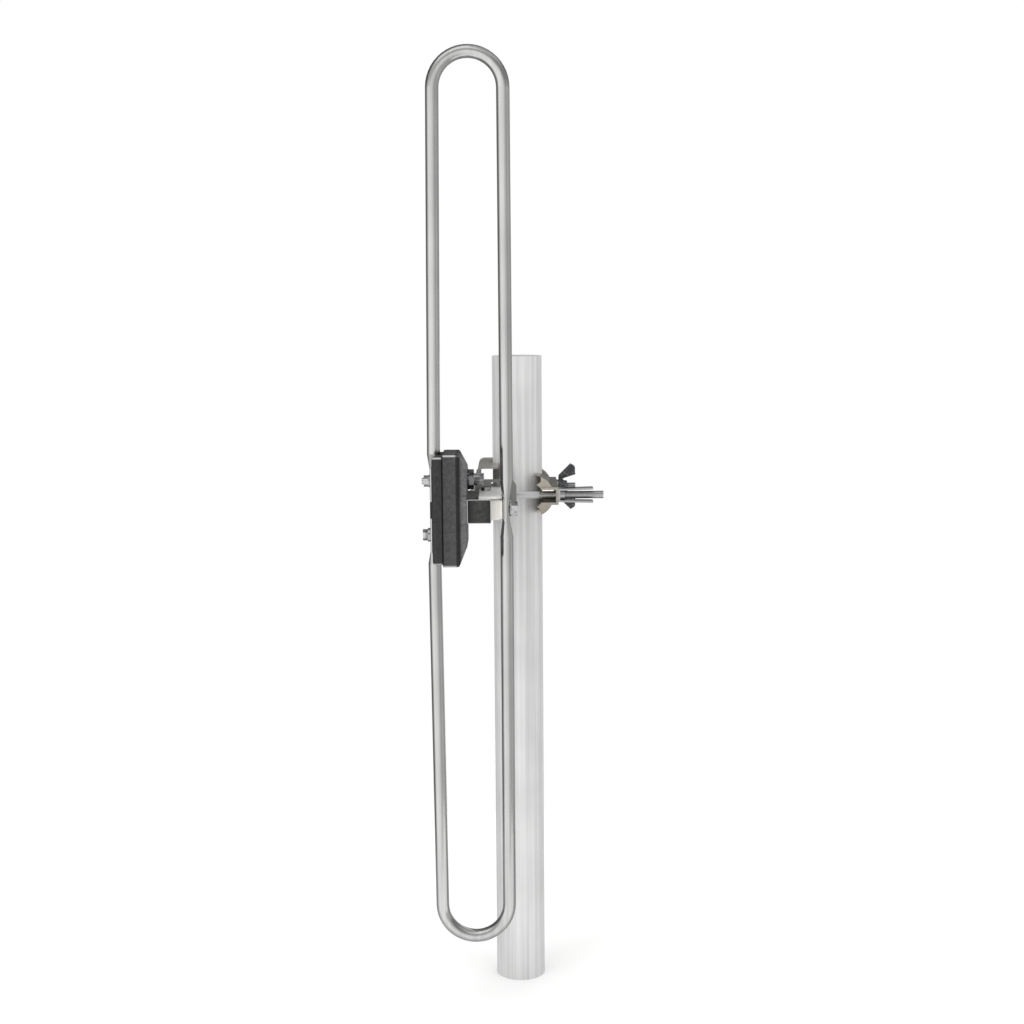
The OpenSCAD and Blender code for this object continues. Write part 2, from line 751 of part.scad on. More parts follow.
// Outline of the bracket's front wall, whose end in front of the mast has round corners
module bracket_wall(low, top) {
    end_x = -1.1;
    end_r = 7;
    translate([bracket_side, low]) square([end_x - end_r - bracket_side, top - low]);
    translate([bracket_side, low + end_r]) square([end_x - bracket_side, top - low - 2 * end_r]);
    for (z = [low + end_r, top - end_r]) translate([end_x - end_r, z]) circle(r = end_r);
}

// Two bolt holes across a web that spans x0 to x1
module clamp_bolt_holes(x0, x1) {
    for (s = [-1, 1]) translate([0, s * bolt_y, 0]) x_rod(x0, x1, bolt_d + 2 * hole_play);
}

module bracket_screw() color([0.45, 0.45, 0.46]) translate([screw_x, screw_y, 0]) {
    head_h = 3;
    tail = boom_z - boom_w / 2 - nut_h - 1;
    translate([0, 0, tail]) cylinder(h = tongue_top - tail, d = screw_d);
    difference() {
        translate([0, 0, tongue_top - eps]) cylinder(h = head_h, d = 1.8 * screw_d);
        translate([0, 0, tongue_top + head_h / 2]) cylinder(h = head_h, d = 0.9 * screw_d, $fn = 6);
    }
}

module bracket_nut() color([0.72, 0.72, 0.73])
    translate([screw_x, screw_y, boom_z - boom_w / 2 - nut_h]) difference() {
        cylinder(h = nut_h, d = 1.6 * screw_d * hex_ratio, $fn = 6);
        translate([0, 0, -1]) cylinder(h = nut_h + 2, d = screw_d);
    }

// Notch that lets the mast into a jaw on the +X side, with saw teeth along both flanks
module mast_notch(z0, z1) {
    steps = ceil(2 * (v_apex - jaw_tip) / tan(v_angle) / tooth_pitch) + 1;
    flank = [for (i = [-steps:steps]) let (y = i * tooth_pitch / 2)
        [v_apex - abs(y) * tan(v_angle) + (abs(i) % 2) * tooth_depth, y]];
    translate([0, 0, z0]) linear_extrude(z1 - z0)
        polygon(concat(flank, [[-mast_r, steps * tooth_pitch / 2], [-mast_r, -steps * tooth_pitch / 2]]));
}

// Inner jaw: a deep channel whose two flanges bite the mast
module inner_jaw() color([0.66, 0.65, 0.6]) {
    depth = -inner_web + sheet_t - jaw_tip;
    height = jaw_up + jaw_down;
    mid = (jaw_up - jaw_down) / 2;
    slot_z = jaw_up - 8;
    difference() {
        translate([inner_web - sheet_t, 0, mid]) along_y(-jaw_half, jaw_half) difference() {
            jaw_profile(depth, height, jaw_bend);
            translate([sheet_t, 0])
                jaw_profile(depth, height - 2 * sheet_t, jaw_bend - sheet_t);
        }
        mirror([1, 0, 0]) mast_notch(-jaw_down - 1, jaw_up + 1);
        clamp_bolt_holes(inner_web - sheet_t - 1, inner_web + 1);
        for (s = [-1, 1]) translate([inner_web, s * bolt_y, slot_z]) rotate([0, 90, 0])
            linear_extrude(3 * sheet_t, center = true) slot(9, 3.4);
    }
}

// Rectangle from the origin along +X whose two left corners are round
module jaw_profile(depth, height, r) {
    translate([r, -height / 2]) square([depth - r, height]);
    translate([0, -height / 2 + r]) square([depth, height - 2 * r]);
    for (s = [-1, 1]) translate([r, s * (height / 2 - r)]) circle(r = r);
}

// Cross-section of the outer jaw's fins: arcs above and below the channel, from x0 outwards
module fin_arcs(x0, lip) {
    difference() {
        translate([fin_centre, 0]) circle(r = fin_r);
        translate([fin_centre, 0]) circle(r = fin_r - sheet_t);
        fin_trim(x0, lip);
    }
}

// What is cut off a fin: all that is before x0, and the channel's height
module fin_trim(x0, lip) {
    translate([x0 - 3 * fin_r, -2 * fin_r]) square([3 * fin_r, 4 * fin_r]);
    translate([0, -lip]) square([2 * fin_r + mast_r, 2 * lip]);
}

// Outer jaw: a narrow channel with curved toothed fins above and below it, closed at both ends
module outer_jaw() color([0.72, 0.68, 0.58]) {
    mouth = min(channel_mouth, outer_web - sheet_t);
    lip = channel_h / 2 - sheet_t / 2;
    grip_half = (v_apex - jaw_tip) / tan(v_angle) + tooth_pitch;
    spur_z = channel_h / 2 + 2;
    difference() {
        union() {
            along_y(-jaw_half - sheet_t, jaw_half + sheet_t) difference() {
                translate([mouth, -channel_h / 2]) square([outer_face - mouth, channel_h]);
                translate([mouth - 1, sheet_t - channel_h / 2])
                    square([outer_web - mouth + 1, channel_h - 2 * sheet_t]);
            }
            along_y(-jaw_half, jaw_half) fin_arcs(mouth, lip);
            along_y(-grip_half, grip_half) fin_arcs(jaw_tip, lip);
            for (s = [-1, 1]) translate([0, s * (jaw_half - sheet_t / 2), 0])
                along_y(-sheet_t / 2, sheet_t / 2) {
                    difference() {
                        translate([fin_centre, 0]) circle(r = fin_r - sheet_t / 2);
                        fin_trim(mouth, lip);
                    }
                    for (t = [-1, 1]) polygon([
                        [mouth + eps, t * lip], [jaw_tip, t * spur_z], [mouth + eps, t * (spur_z + 2.5)]]);
                }
        }
        mast_notch(-2 * fin_r, 2 * fin_r);
        clamp_bolt_holes(outer_web - 1, outer_face + 1);
    }
}

// Bolt along X through both jaws; side is -1 in front of the mast
module clamp_bolt(side, len) {
    translate([0, side * bolt_y, 0]) {
        x_rod(bracket_side - eps, bracket_side + len, bolt_d);
        x_hex(bracket_side - bolt_head_h, bracket_side, bolt_head_af);
    }
}

module near_bolt() color([0.6, 0.6, 0.61]) clamp_bolt(-1, near_bolt_l);

module far_bolt() color([0.6, 0.6, 0.61]) clamp_bolt(1, far_bolt_l);

module far_washer() color([0.75, 0.75, 0.76]) translate([0, bolt_y, 0])
    x_ring(outer_face, outer_face + far_washer_t, 2 * bolt_d, bolt_d + 2 * hole_play);

// Thumb nut folded from one strip: threaded base and two long arms
module near_thumb_nut() color([0.62, 0.62, 0.63]) {
    strip_t = 1.5;
    base_half = channel_h / 2 - 1.8;
    hub_l = 4;
    translate([0, -bolt_y, 0]) difference() {
        union() {
            along_y(-strip_w / 2, strip_w / 2) for (s = [-1, 1]) polygon([
                [outer_face, 0],
                [outer_face, s * base_half],
                [outer_face + arm_l, s * arm_gap / 2],
                [outer_face + arm_l, s * (arm_gap / 2 - strip_t)],
                [outer_face + strip_t, s * (base_half - strip_t)],
                [outer_face + strip_t, 0]]);
            x_rod(outer_face, outer_face + strip_t + hub_l, bolt_d + 2);
        }
        x_rod(outer_face - 1, outer_face + arm_l, bolt_d + running_play);
    }
}

// Cast wing nut with two flared wings, upright at rest
module far_wing_nut() color([0.4, 0.41, 0.42]) {
    seat = outer_face + far_washer_t;
    hub_d = 2 * bolt_d;
    hub_l = 8;
    wing_t = 2.6;
    tip_r = 3.6;
    top = wing_span / 2;
    tip = [wing_h - tip_r, top - 0.9 - tip_r];
    translate([seat, bolt_y, 0]) difference() {
        union() {
            rotate([0, 90, 0]) cylinder(h = hub_l, d1 = hub_d, d2 = hub_d - 2);
            along_y(-wing_t / 2, wing_t / 2) for (s = [0, 1]) mirror([0, s]) {
                translate(tip) circle(r = tip_r);
                polygon([
                    [0.4, hub_d / 2 - 3], [0.4, hub_d / 2 + 3.6],
                    [tip[0] - 0.6, top], [tip[0] + tip_r * cos(60), tip[1] + tip_r * sin(60)],
                    [tip[0] + tip_r * cos(-20), tip[1] + tip_r * sin(-20)],
                    [wing_h + 0.2, tip[1] - 5], [hub_l / 2, hub_d / 2 + 0.9],
                    [hub_l - 1, hub_d / 2 - 3]]);
            }
        }
        x_rod(-1, wing_h, bolt_d + running_play);
    }
}

module mast_tube() color([0.85, 0.86, 0.86]) translate([0, 0, -mast_drop]) difference() {
    cylinder(h = mast_drop + mast_top, d = mast_d, $fn = 96);
    translate([0, 0, -1]) cylinder(h = mast_drop + mast_top + 2, d = mast_d - 2 * mast_wall, $fn = 96);
}

dipole_tube();
base_shell();
cover_shell();
lid_seal();
circuit_board();
balun_core();
balun_winding();
upper_terminal_screw();
lower_terminal_screw();
upper_terminal_nut();
lower_terminal_nut();
upper_terminal_washer();
lower_terminal_washer();
coax_socket();
socket_insulator();
socket_contact();
socket_washer();
socket_nut();
boom_tube();
boom_front_plug();
boom_rear_plug();
leg_spacer();
leg_bolt();
leg_washer();
leg_nut();
boom_bracket();
bracket_screw();
bracket_nut();
inner_jaw();
near_bolt();
far_bolt();
outer_jaw();
far_washer();
near_thumb_nut();
far_wing_nut();
mast_tube();
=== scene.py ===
import json
import math

import bmesh
import bpy
from mathutils import Matrix, Vector


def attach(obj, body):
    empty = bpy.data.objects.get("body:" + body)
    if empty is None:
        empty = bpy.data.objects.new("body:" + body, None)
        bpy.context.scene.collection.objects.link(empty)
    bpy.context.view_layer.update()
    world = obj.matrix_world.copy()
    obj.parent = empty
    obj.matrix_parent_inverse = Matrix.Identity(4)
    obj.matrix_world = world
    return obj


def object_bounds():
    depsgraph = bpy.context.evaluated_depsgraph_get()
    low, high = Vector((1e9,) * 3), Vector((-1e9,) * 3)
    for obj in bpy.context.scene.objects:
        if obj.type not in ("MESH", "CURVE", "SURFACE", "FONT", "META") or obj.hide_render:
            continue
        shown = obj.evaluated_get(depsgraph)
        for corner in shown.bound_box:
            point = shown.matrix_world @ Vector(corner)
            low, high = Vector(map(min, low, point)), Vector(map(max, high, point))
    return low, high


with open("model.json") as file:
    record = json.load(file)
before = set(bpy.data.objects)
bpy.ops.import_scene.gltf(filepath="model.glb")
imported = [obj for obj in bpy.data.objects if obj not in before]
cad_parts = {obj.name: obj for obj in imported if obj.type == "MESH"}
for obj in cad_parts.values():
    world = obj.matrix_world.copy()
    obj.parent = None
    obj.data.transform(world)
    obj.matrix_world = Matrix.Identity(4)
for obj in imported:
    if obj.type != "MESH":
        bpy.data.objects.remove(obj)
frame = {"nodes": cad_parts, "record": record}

CAD_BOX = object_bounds()
NODES = frame["nodes"]
MM = 0.001

scene = bpy.context.scene
scene.view_settings.view_transform = "Standard"


# Shader helpers

def add_node(tree, kind, inputs=None, **settings):
    """New shader node; each input takes a plain value or another node's output."""
    made = tree.nodes.new("ShaderNode" + kind)
    for key, value in settings.items():
        setattr(made, key, value)
    for key, value in (inputs or {}).items():
        if hasattr(value, "is_output"):
            tree.links.new(value, made.inputs[key])
        else:
            made.inputs[key].default_value = value
    return made


def opaque(colour):
    return (colour[0], colour[1], colour[2], 1.0)


def grey(level):
    return (level, level, level)


def new_material(name):
    mat = bpy.data.materials.new(name)
    mat.use_nodes = True
    tree = mat.node_tree
    tree.nodes.clear()
    bsdf = add_node(tree, "BsdfPrincipled")
    surface = add_node(tree, "OutputMaterial", {0: bsdf.outputs[0]})
    return mat, tree, bsdf, surface


def noise(tree, scale, detail=4.0, rough=0.55, stretch=(1, 1, 1)):
    coord = add_node(tree, "TexCoord")
    mapping = add_node(tree, "Mapping", {0: coord.outputs["Object"], "Scale": stretch})
    tex = add_node(tree, "TexNoise", {"Vector": mapping.outputs[0], "Scale": scale,
                                      "Detail": detail, "Roughness": rough})
    return tex.outputs["Fac"]


def ramp(tree, value, stops):
    """Ramp over a value; stops are (position, grey level or colour)."""
    made = add_node(tree, "ValToRGB", {0: value})
    elements = made.color_ramp.elements
    while len(elements) < len(stops):
        elements.new(0.5)
    for element, (position, colour) in zip(elements, stops):
        element.position = position
        element.color = opaque(colour if hasattr(colour, "__len__") else grey(colour))
    return made.outputs[0]


def mix(tree, fac, a, b, mode="MIX"):
    a, b = (c if hasattr(c, "is_output") else opaque(c) for c in (a, b))
    made = add_node(tree, "Mix", data_type="RGBA", blend_type=mode)
    for socket, value in ((0, fac), (6, a), (7, b)):
        if hasattr(value, "is_output"):
            tree.links.new(value, made.inputs[socket])
        else:
            made.inputs[socket].default_value = value
    return made.outputs[2]


def multiply(tree, a, b):
    return mix(tree, 1.0, a, b, "MULTIPLY")


def bump(tree, bsdf, height, strength, depth):
    made = add_node(tree, "Bump", {"Strength": strength, "Distance": depth * MM, "Height": height})
    tree.links.new(made.outputs[0], bsdf.inputs["Normal"])


def spread(tree, value, low, high):
    """Value scaled so that low to high becomes 0 to 1."""
    made = add_node(tree, "MapRange", {"Value": value, "From Min": low, "From Max": high})
    return made.outputs[0]


def along(tree, axis, stops):
    """Value or colour that changes along an axis; stops are (millimetres, value)."""
    coord = add_node(tree, "TexCoord")
    split = add_node(tree, "SeparateXYZ", {0: coord.outputs["Object"]})
    first, last = stops[0][0], stops[-1][0]
    value = spread(tree, split.outputs[axis], first * MM, last * MM)
    return ramp(tree, value, [((x - first) / (last - first), v) for x, v in stops])


# Stretch of a noise pattern along the three axes
EVEN = (1, 1, 1)
LONG_STREAK = (1, 1, 0.03)
DRAWN_LINE = (1, 1, 0.012)

# Ends of the noise range that counts, as its values lie round 0.5
NOISE_LOW, NOISE_HIGH = 0.3, 0.7


def between(tree, pattern, low, high):
    """Value or colour that goes from low to high with a noise pattern."""
    return ramp(tree, pattern, [(NOISE_LOW, low), (NOISE_HIGH, high)])


def metal(name, dark, light, rough=(0.3, 0.45), streak=LONG_STREAK, scale=400, bumpy=0.15,
          blotch=None, blotch_scale=60, lines=0.0, line_scale=160, solid=0.0, painted_shade=None,
          depth=0.02, detail=5.0):
    """Metal with fine streaks, slow colour variation and, where asked for, blotches, lines and
    painted shade.

    solid is the share that shades as paint instead of mirroring; painted shade, where asked for,
    is an axis with its levels.
    """
    mat, tree, bsdf, _ = new_material(name)
    bsdf.inputs["Metallic"].default_value = 1.0 - solid
    fine = noise(tree, scale, detail, rough=0.6, stretch=streak)
    slow = noise(tree, scale=18, detail=3.0, rough=0.5)
    colour = between(tree, slow, dark, light)
    if blotch is not None:
        spots = noise(tree, blotch_scale, detail, rough=0.65)
        colour = mix(tree, ramp(tree, spots, [(0.52, 0.0), (0.66, 0.6)]), colour, blotch)
    if lines:
        band = noise(tree, line_scale, detail=3.0, rough=0.6, stretch=DRAWN_LINE)
        colour = multiply(tree, colour, ramp(tree, band, [(0.36, 1.0 - lines), (0.62, 1.0)]))
    # Painted shade along an axis, multiplied into the colour.
    if painted_shade is not None:
        colour = multiply(tree, colour, along(tree, *painted_shade))
    tree.links.new(colour, bsdf.inputs["Base Color"])
    tree.links.new(between(tree, fine, *rough), bsdf.inputs["Roughness"])
    bump(tree, bsdf, fine, bumpy, depth)
    return mat


GRAIN = {"detail": 2.0, "rough": 0.5}
GRAIN_SCALE = 900
GRAIN_BUMP = 0.25
GRAIN_DEPTH = 0.03


def plastic(name, dark, light, rough=(0.45, 0.6), grain=GRAIN_SCALE,
            grain_bump=GRAIN_BUMP, coat=0.0):
    """Moulded plastic with a spark-eroded grain."""
    mat, tree, bsdf, _ = new_material(name)
    slow = noise(tree, scale=25, detail=3.0, rough=0.5)
    fine = noise(tree, grain, **GRAIN)
    tree.links.new(between(tree, slow, dark, light), bsdf.inputs["Base Color"])
    tree.links.new(between(tree, slow, *rough), bsdf.inputs["Roughness"])
    bsdf.inputs["Coat Weight"].default_value = coat
    bump(tree, bsdf, fine, grain_bump, GRAIN_DEPTH)
    return mat


# Painted glint: a lighter colour on the front edges of a shell, standing in for a highlight.
PAINTED_GLINT_COLOUR = grey(0.42)
GLINT_WIDTH = 1.2
GLINT_END = 1.9
GLINT_FRONT = [(-122, 1.0), (-118.2, 1.0), (-117.4, 0.0), (-60, 0.0)]
# Painted shade: near-black colour laid into the seams and along edges of the shells.
SEAM_SHADE_COLOUR = grey(0.004)
SHELL_ROUGH = (0.4, 0.52)


def shell_plastic(name, seam_shade, tones_and_painted_light, low, high):
    """Grained black shell: tones, painted light and painted seam shade along X, a painted glint on
    its front edges.

    The painted glint lies at the front end of the shell, at its lowest and highest Z.
    """
    mat, tree, bsdf, _ = new_material(name)
    slow = noise(tree, scale=30, detail=4.0, rough=0.6)
    fine = noise(tree, GRAIN_SCALE, **GRAIN)
    specks = noise(tree, scale=480, detail=3.0, rough=0.6)
    speckled = ramp(tree, specks, [(0.36, 0.78), (0.5, 1.0), (0.66, 1.25)])
    shade = between(tree, slow, 0.82, 1.0)
    # Tones along X, with painted light where the caller asks for it.
    colour = multiply(tree, multiply(tree, along(tree, "X", tones_and_painted_light), shade), speckled)
    front = along(tree, "Y", GLINT_FRONT)
    rim = along(tree, "Z", [(low - 1, 1.0), (low + GLINT_WIDTH, 1.0), (low + GLINT_END, 0.0),
                            (high - GLINT_END, 0.0), (high - GLINT_WIDTH, 1.0), (high + 1, 1.0)])
    # Painted glint on the front top and bottom edges.
    colour = mix(tree, multiply(tree, front, rim), colour, PAINTED_GLINT_COLOUR)
    # Painted shade in the seams.
    colour = mix(tree, along(tree, "X", seam_shade), colour, SEAM_SHADE_COLOUR)
    tree.links.new(colour, bsdf.inputs["Base Color"])
    tree.links.new(between(tree, slow, *SHELL_ROUGH), bsdf.inputs["Roughness"])
    bsdf.inputs["Specular IOR Level"].default_value = 0.35
    bump(tree, bsdf, fine, GRAIN_BUMP, GRAIN_DEPTH)
    return mat


# Materials of the slots

MATS = {
    "aluminium_tube": metal(
        "aluminium_tube", (0.68, 0.68, 0.675), (0.8, 0.8, 0.79), (0.12, 0.2),
        scale=500, bumpy=0.05, lines=0.12, line_scale=330),
    "black_plastic": plastic(
        "black_plastic", (0.02, 0.02, 0.019), (0.045, 0.045, 0.043), (0.36, 0.5)),
    "black_rubber": plastic("black_rubber", grey(0.012), grey(0.02), (0.7, 0.8)),
    "board": plastic("board", (0.02, 0.16, 0.06), (0.03, 0.2, 0.08), (0.3, 0.4), coat=0.3),
    "ferrite": plastic("ferrite", (0.05, 0.05, 0.055), (0.08, 0.08, 0.085), (0.6, 0.7)),
    "copper": metal("copper", (0.75, 0.35, 0.16), (0.85, 0.45, 0.22), (0.2, 0.3)),
    "zinc_steel": metal(
        "zinc_steel", grey(0.34), grey(0.6), (0.06, 0.16), EVEN, scale=260, bumpy=0.5,
        depth=0.1, detail=2.0),
    # Nickel: dark blotches in the colour are painted reflections, the dark surroundings seen in
    # the bright plating.
    "nickel": metal(
        "nickel", (0.5, 0.5, 0.51), grey(0.8), (0.03, 0.09), EVEN, scale=220, bumpy=0.9,
        depth=0.6, blotch=(0.04, 0.042, 0.05), blotch_scale=260, detail=0.5),
    "white_plastic": plastic(
        "white_plastic", (0.8, 0.79, 0.73), (0.88, 0.87, 0.82), (0.3, 0.42), grain=700,
        grain_bump=0.1),
    "ivory_plastic": plastic(
        "ivory_plastic", (0.82, 0.8, 0.75), (0.88, 0.87, 0.83), (0.3, 0.4)),
    "gilt": metal("gilt", (0.75, 0.52, 0.2), (0.85, 0.62, 0.28), (0.15, 0.25)),
    "galvanised_sheet": metal(
        "galvanised_sheet", (0.68, 0.68, 0.66), (0.82, 0.82, 0.8), (0.3, 0.45), (1, 0.06, 1),
        scale=300, bumpy=0.12, solid=0.6,
        # Painted shade: the bracket's wall, from Y -42 mm back, darker than its front tongue.
        painted_shade=("Y", [(-110, 1.0), (-50, 0.95), (-42, 0.26), (45, 0.38)])),
    "yellow_zinc": metal(
        "yellow_zinc", (0.32, 0.29, 0.245), (0.54, 0.5, 0.43), (0.14, 0.3), EVEN, scale=260,
        bumpy=0.5, depth=0.1, blotch=(0.2, 0.18, 0.15), blotch_scale=140),
    "dark_zinc": metal(
        "dark_zinc", (0.05, 0.053, 0.056), (0.09, 0.093, 0.097), (0.4, 0.6), EVEN, scale=520,
        bumpy=0.8, depth=0.15, solid=0.5, blotch=(0.34, 0.34, 0.345), blotch_scale=620),
    "galvanised_mast": metal(
        "galvanised_mast", grey(0.8), grey(0.9), (0.38, 0.5), scale=260, bumpy=0.1, lines=0.18,
        line_scale=240, solid=0.62),
}


# Materials of single nodes that look different from their slot.
# Tones, painted light and seam shade lie along X, in millimetres; a seam's value is its shade's
# strength.

BASE_TONES = [(-70, grey(0.04)), (-66.5, grey(0.032)), (-60.5, grey(0.028)), (-59, grey(0.03))]
# Base: painted shade along its left edge and in its seam with the cover.
BASE_SEAM_SHADE = [(-70, 0.9), (-69.4, 0.9), (-68.4, 0.0), (-60.3, 0.0), (-59.7, 0.9), (-59, 0.9)]
# Cover: painted light, lighter where the dome's slope faces the light and darker towards both
# ends.
COVER_PAINTED_LIGHT = [(-60, grey(0.05)), (-50, grey(0.062)), (-46, (0.09, 0.09, 0.092)),
               (-42, (0.13, 0.13, 0.133)), (-38, grey(0.1)), (-30, grey(0.03))]
# Cover: painted shade in its seam with the base, and a painted dark reflection along the rounded
# edge of the dome.
COVER_SEAM_SHADE = [(-60, 0.9), (-58.9, 0.9), (-58.3, 0.0), (-49.4, 0.0), (-48.3, 0.85),
               (-46.0, 0.85), (-44.6, 0.0), (-40, 0.0)]
# Boom plugs: painted highlight across the middle, darker towards the sides.
PLUG_PAINTED_HIGHLIGHT = [(-40, grey(0.012)), (-37, (0.03, 0.03, 0.029)), (-31, (0.045, 0.045, 0.043)),
              (-26, (0.035, 0.035, 0.033)), (-21, grey(0.012))]
NO_SEAM_SHADE = [(-40, 0.0), (-20, 0.0)]

boom_plug = shell_plastic("boom_plug", NO_SEAM_SHADE, PLUG_PAINTED_HIGHLIGHT, low=-80, high=80)
bolt_steel = metal(
    "bolt_steel", (0.5, 0.5, 0.51), (0.66, 0.66, 0.67), (0.3, 0.42), EVEN, scale=250, bumpy=0.1,
    solid=0.3)
# Dark nickel: dark blotches in the colour are painted reflections of the plating.
dark_nickel = metal(
    "dark_nickel", (0.2, 0.2, 0.21), (0.5, 0.5, 0.52), (0.03, 0.09), EVEN, scale=200, bumpy=0.9,
    depth=0.6, blotch=(0.02, 0.02, 0.025), blotch_scale=200, detail=0.5)
# Bright zinc: dark blotches in the colour are painted reflections of the bright plating.
bright_zinc = metal(
    "bright_zinc", grey(0.5), grey(0.85), (0.05, 0.12), EVEN, scale=170, bumpy=0.8, depth=0.5,
    blotch=(0.05, 0.05, 0.055), blotch_scale=190, detail=0.5)
NODE_MATS = {
    "base_shell": shell_plastic("base_shell", BASE_SEAM_SHADE, BASE_TONES, low=-44.8, high=40.8),
    "cover_shell": shell_plastic("cover_shell", COVER_SEAM_SHADE, COVER_PAINTED_LIGHT, low=-46.5, high=42.5),
    "boom_front_plug": boom_plug,
    "boom_rear_plug": boom_plug,
    "inner_jaw": metal(
        "jaw_zinc", (0.28, 0.27, 0.245), (0.46, 0.44, 0.4), (0.3, 0.45), EVEN, scale=200,
        bumpy=0.5, depth=0.1, solid=0.5, blotch=(0.2, 0.19, 0.17), blotch_scale=120,
        detail=3.0),
    "near_bolt": bolt_steel,
    "far_bolt": bolt_steel,
    "socket_nut": dark_nickel,
    "socket_washer": dark_nickel,
}
NODE_MATS.update(dict.fromkeys(
    ("leg_nut", "leg_bolt", "upper_terminal_nut", "upper_terminal_screw",
     "lower_terminal_screw", "bracket_screw"), bright_zinc))

SLOT_OF = {part["node"]: part["material_slot"] for part in frame["record"]["subparts"]}
for name, obj in NODES.items():
    mat = NODE_MATS.get(name, MATS[SLOT_OF[name]])
    if not obj.material_slots:
        obj.data.materials.append(mat)
    for material_slot in obj.material_slots:
        material_slot.material = mat


# Rounded edges on the carried-over solids, in millimetres

EDGE_WIDTHS = {
    "base_shell": 1.0, "cover_shell": 1.0, "boom_tube": 0.25, "boom_front_plug": 0.3,
    "boom_rear_plug": 0.3, "leg_spacer": 0.4, "boom_bracket": 0.25, "inner_jaw": 0.3,
    "outer_jaw": 0.25, "far_wing_nut": 0.5, "near_thumb_nut": 0.25, "mast_tube": 0.4,
    "socket_nut": 0.3, "leg_nut": 0.3, "upper_terminal_nut": 0.25,
    "lower_terminal_screw": 0.3, "near_bolt": 0.3, "far_bolt": 0.3, "bracket_screw": 0.3}
EDGE_ANGLE = math.radians(35)
EDGE_SEGMENTS = 2

for node, width in EDGE_WIDTHS.items():
    rounding = NODES[node].modifiers.new("edge", "BEVEL")
    rounding.width = width * MM
    rounding.segments = EDGE_SEGMENTS
    rounding.limit_method = "ANGLE"
    rounding.angle_limit = EDGE_ANGLE
    rounding.harden_normals = False


# Threads, placed from the ends of the rods they sit on

ROWS_PER_TURN = 6
THREAD_SEGMENTS = 40
# Shares of the pitch: how far the crest stands off the rod, and how deep the groove is
CREST_SHARE, GROOVE_SHARE = 0.22, 0.2
BODY_OF = {node: body for body, nodes in frame["record"]["behaviour"]["bodies"].items()
           for node in nodes}


def mesh_piece(name, verts, faces, slot_name, body):
    mesh = bpy.data.meshes.new(name)
    mesh.from_pydata([Vector(v) * MM for v in verts], [], faces)
    mesh.update()
    edit = bmesh.new()
    edit.from_mesh(mesh)
    bmesh.ops.recalc_face_normals(edit, faces=edit.faces)
    edit.to_mesh(mesh)
    edit.free()
    obj = bpy.data.objects.new(name, mesh)
    scene.collection.objects.link(obj)
    for polygon in mesh.polygons:
        polygon.use_smooth = True
    mesh.materials.append(MATS[slot_name])
    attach(obj, body)


def thread(name, node, x0, x1, y, z, radius, pitch, slot_name):
    """Thin sleeve with a helical ridge round a rod of this radius, along X."""
    crest = radius + CREST_SHARE * pitch
    depth = GROOVE_SHARE * pitch
    rows = int((x1 - x0) / pitch * ROWS_PER_TURN)
    verts, faces = [], []
    for i in range(rows + 1):
        x = x0 + (x1 - x0) * i / rows
        fade = max(min(1.0, (x - x0) / pitch, (x1 - x) / pitch), 0)
        for j in range(THREAD_SEGMENTS):
            angle = 2 * math.pi * j / THREAD_SEGMENTS
            phase = ((x - x0) / pitch - j / THREAD_SEGMENTS) % 1.0
            r = crest - depth * abs(2 * phase - 1) * fade
            verts.append((x, y + r * math.cos(angle), z + r * math.sin(angle)))
    for i in range(rows):
        here, above = i * THREAD_SEGMENTS, (i + 1) * THREAD_SEGMENTS
        for j in range(THREAD_SEGMENTS):
            k = (j + 1) % THREAD_SEGMENTS
            faces.append((here + j, here + k, above + k, above + j))
    mesh_piece(name, verts, faces, slot_name, BODY_OF[node])


def span(node):
    """Lowest and highest corner of a node's box, in millimetres."""
    obj = NODES[node]
    points = [obj.matrix_world @ v.co for v in obj.data.vertices]
    return ([min(p[i] for p in points) / MM for i in range(3)],
            [max(p[i] for p in points) / MM for i in range(3)])


SOCKET_RADIUS, SOCKET_PITCH = 4.75, 0.8
BOLT_RADIUS, BOLT_PITCH = 3.0, 1.0
BOLT_Z = 0
INSIDE_JAW = 2

thread_start = span("outer_jaw")[0][0] + INSIDE_JAW
socket_low, socket_high = span("coax_socket")
thread("socket_thread", "coax_socket", span("socket_nut")[1][0], socket_high[0],
       (socket_low[1] + socket_high[1]) / 2, (socket_low[2] + socket_high[2]) / 2,
       SOCKET_RADIUS, SOCKET_PITCH, "nickel")
for bolt in ("near_bolt", "far_bolt"):
    bolt_low, bolt_high = span(bolt)
    thread(bolt + "_thread", bolt, thread_start, bolt_high[0],
           (bolt_low[1] + bolt_high[1]) / 2, BOLT_Z, BOLT_RADIUS, BOLT_PITCH, "zinc_steel")


# Floor: white to the camera, with the shadow of the mast, and a soft gradient in the metals

FLOOR_HALF = 0.45
FLOOR_COLOUR = (0.8, 0.8, 0.8)
FLOOR_ROUGH = 0.85
# Light that the camera alone sees from the floor, so that it comes out white
FLOOR_LIFT = 0.06
# What the metals see of the floor, by place along Y in millimetres
FLOOR_GLOW = [(-450, 0.95), (-200, 0.95), (-95, 0.5), (0, 0.3), (450, 0.3)]


def mirror_rays(tree, rays):
    """1 for a ray that a metal mirrors or that passes through a clear material."""
    made = add_node(tree, "Math", {0: rays.outputs["Is Glossy Ray"],
                                   1: rays.outputs["Is Transmission Ray"]},
                    operation="MAXIMUM")
    return made.outputs[0]


def choose(tree, fac, plain, other):
    made = add_node(tree, "MixShader", {0: fac, 1: plain, 2: other})
    return made.outputs[0]


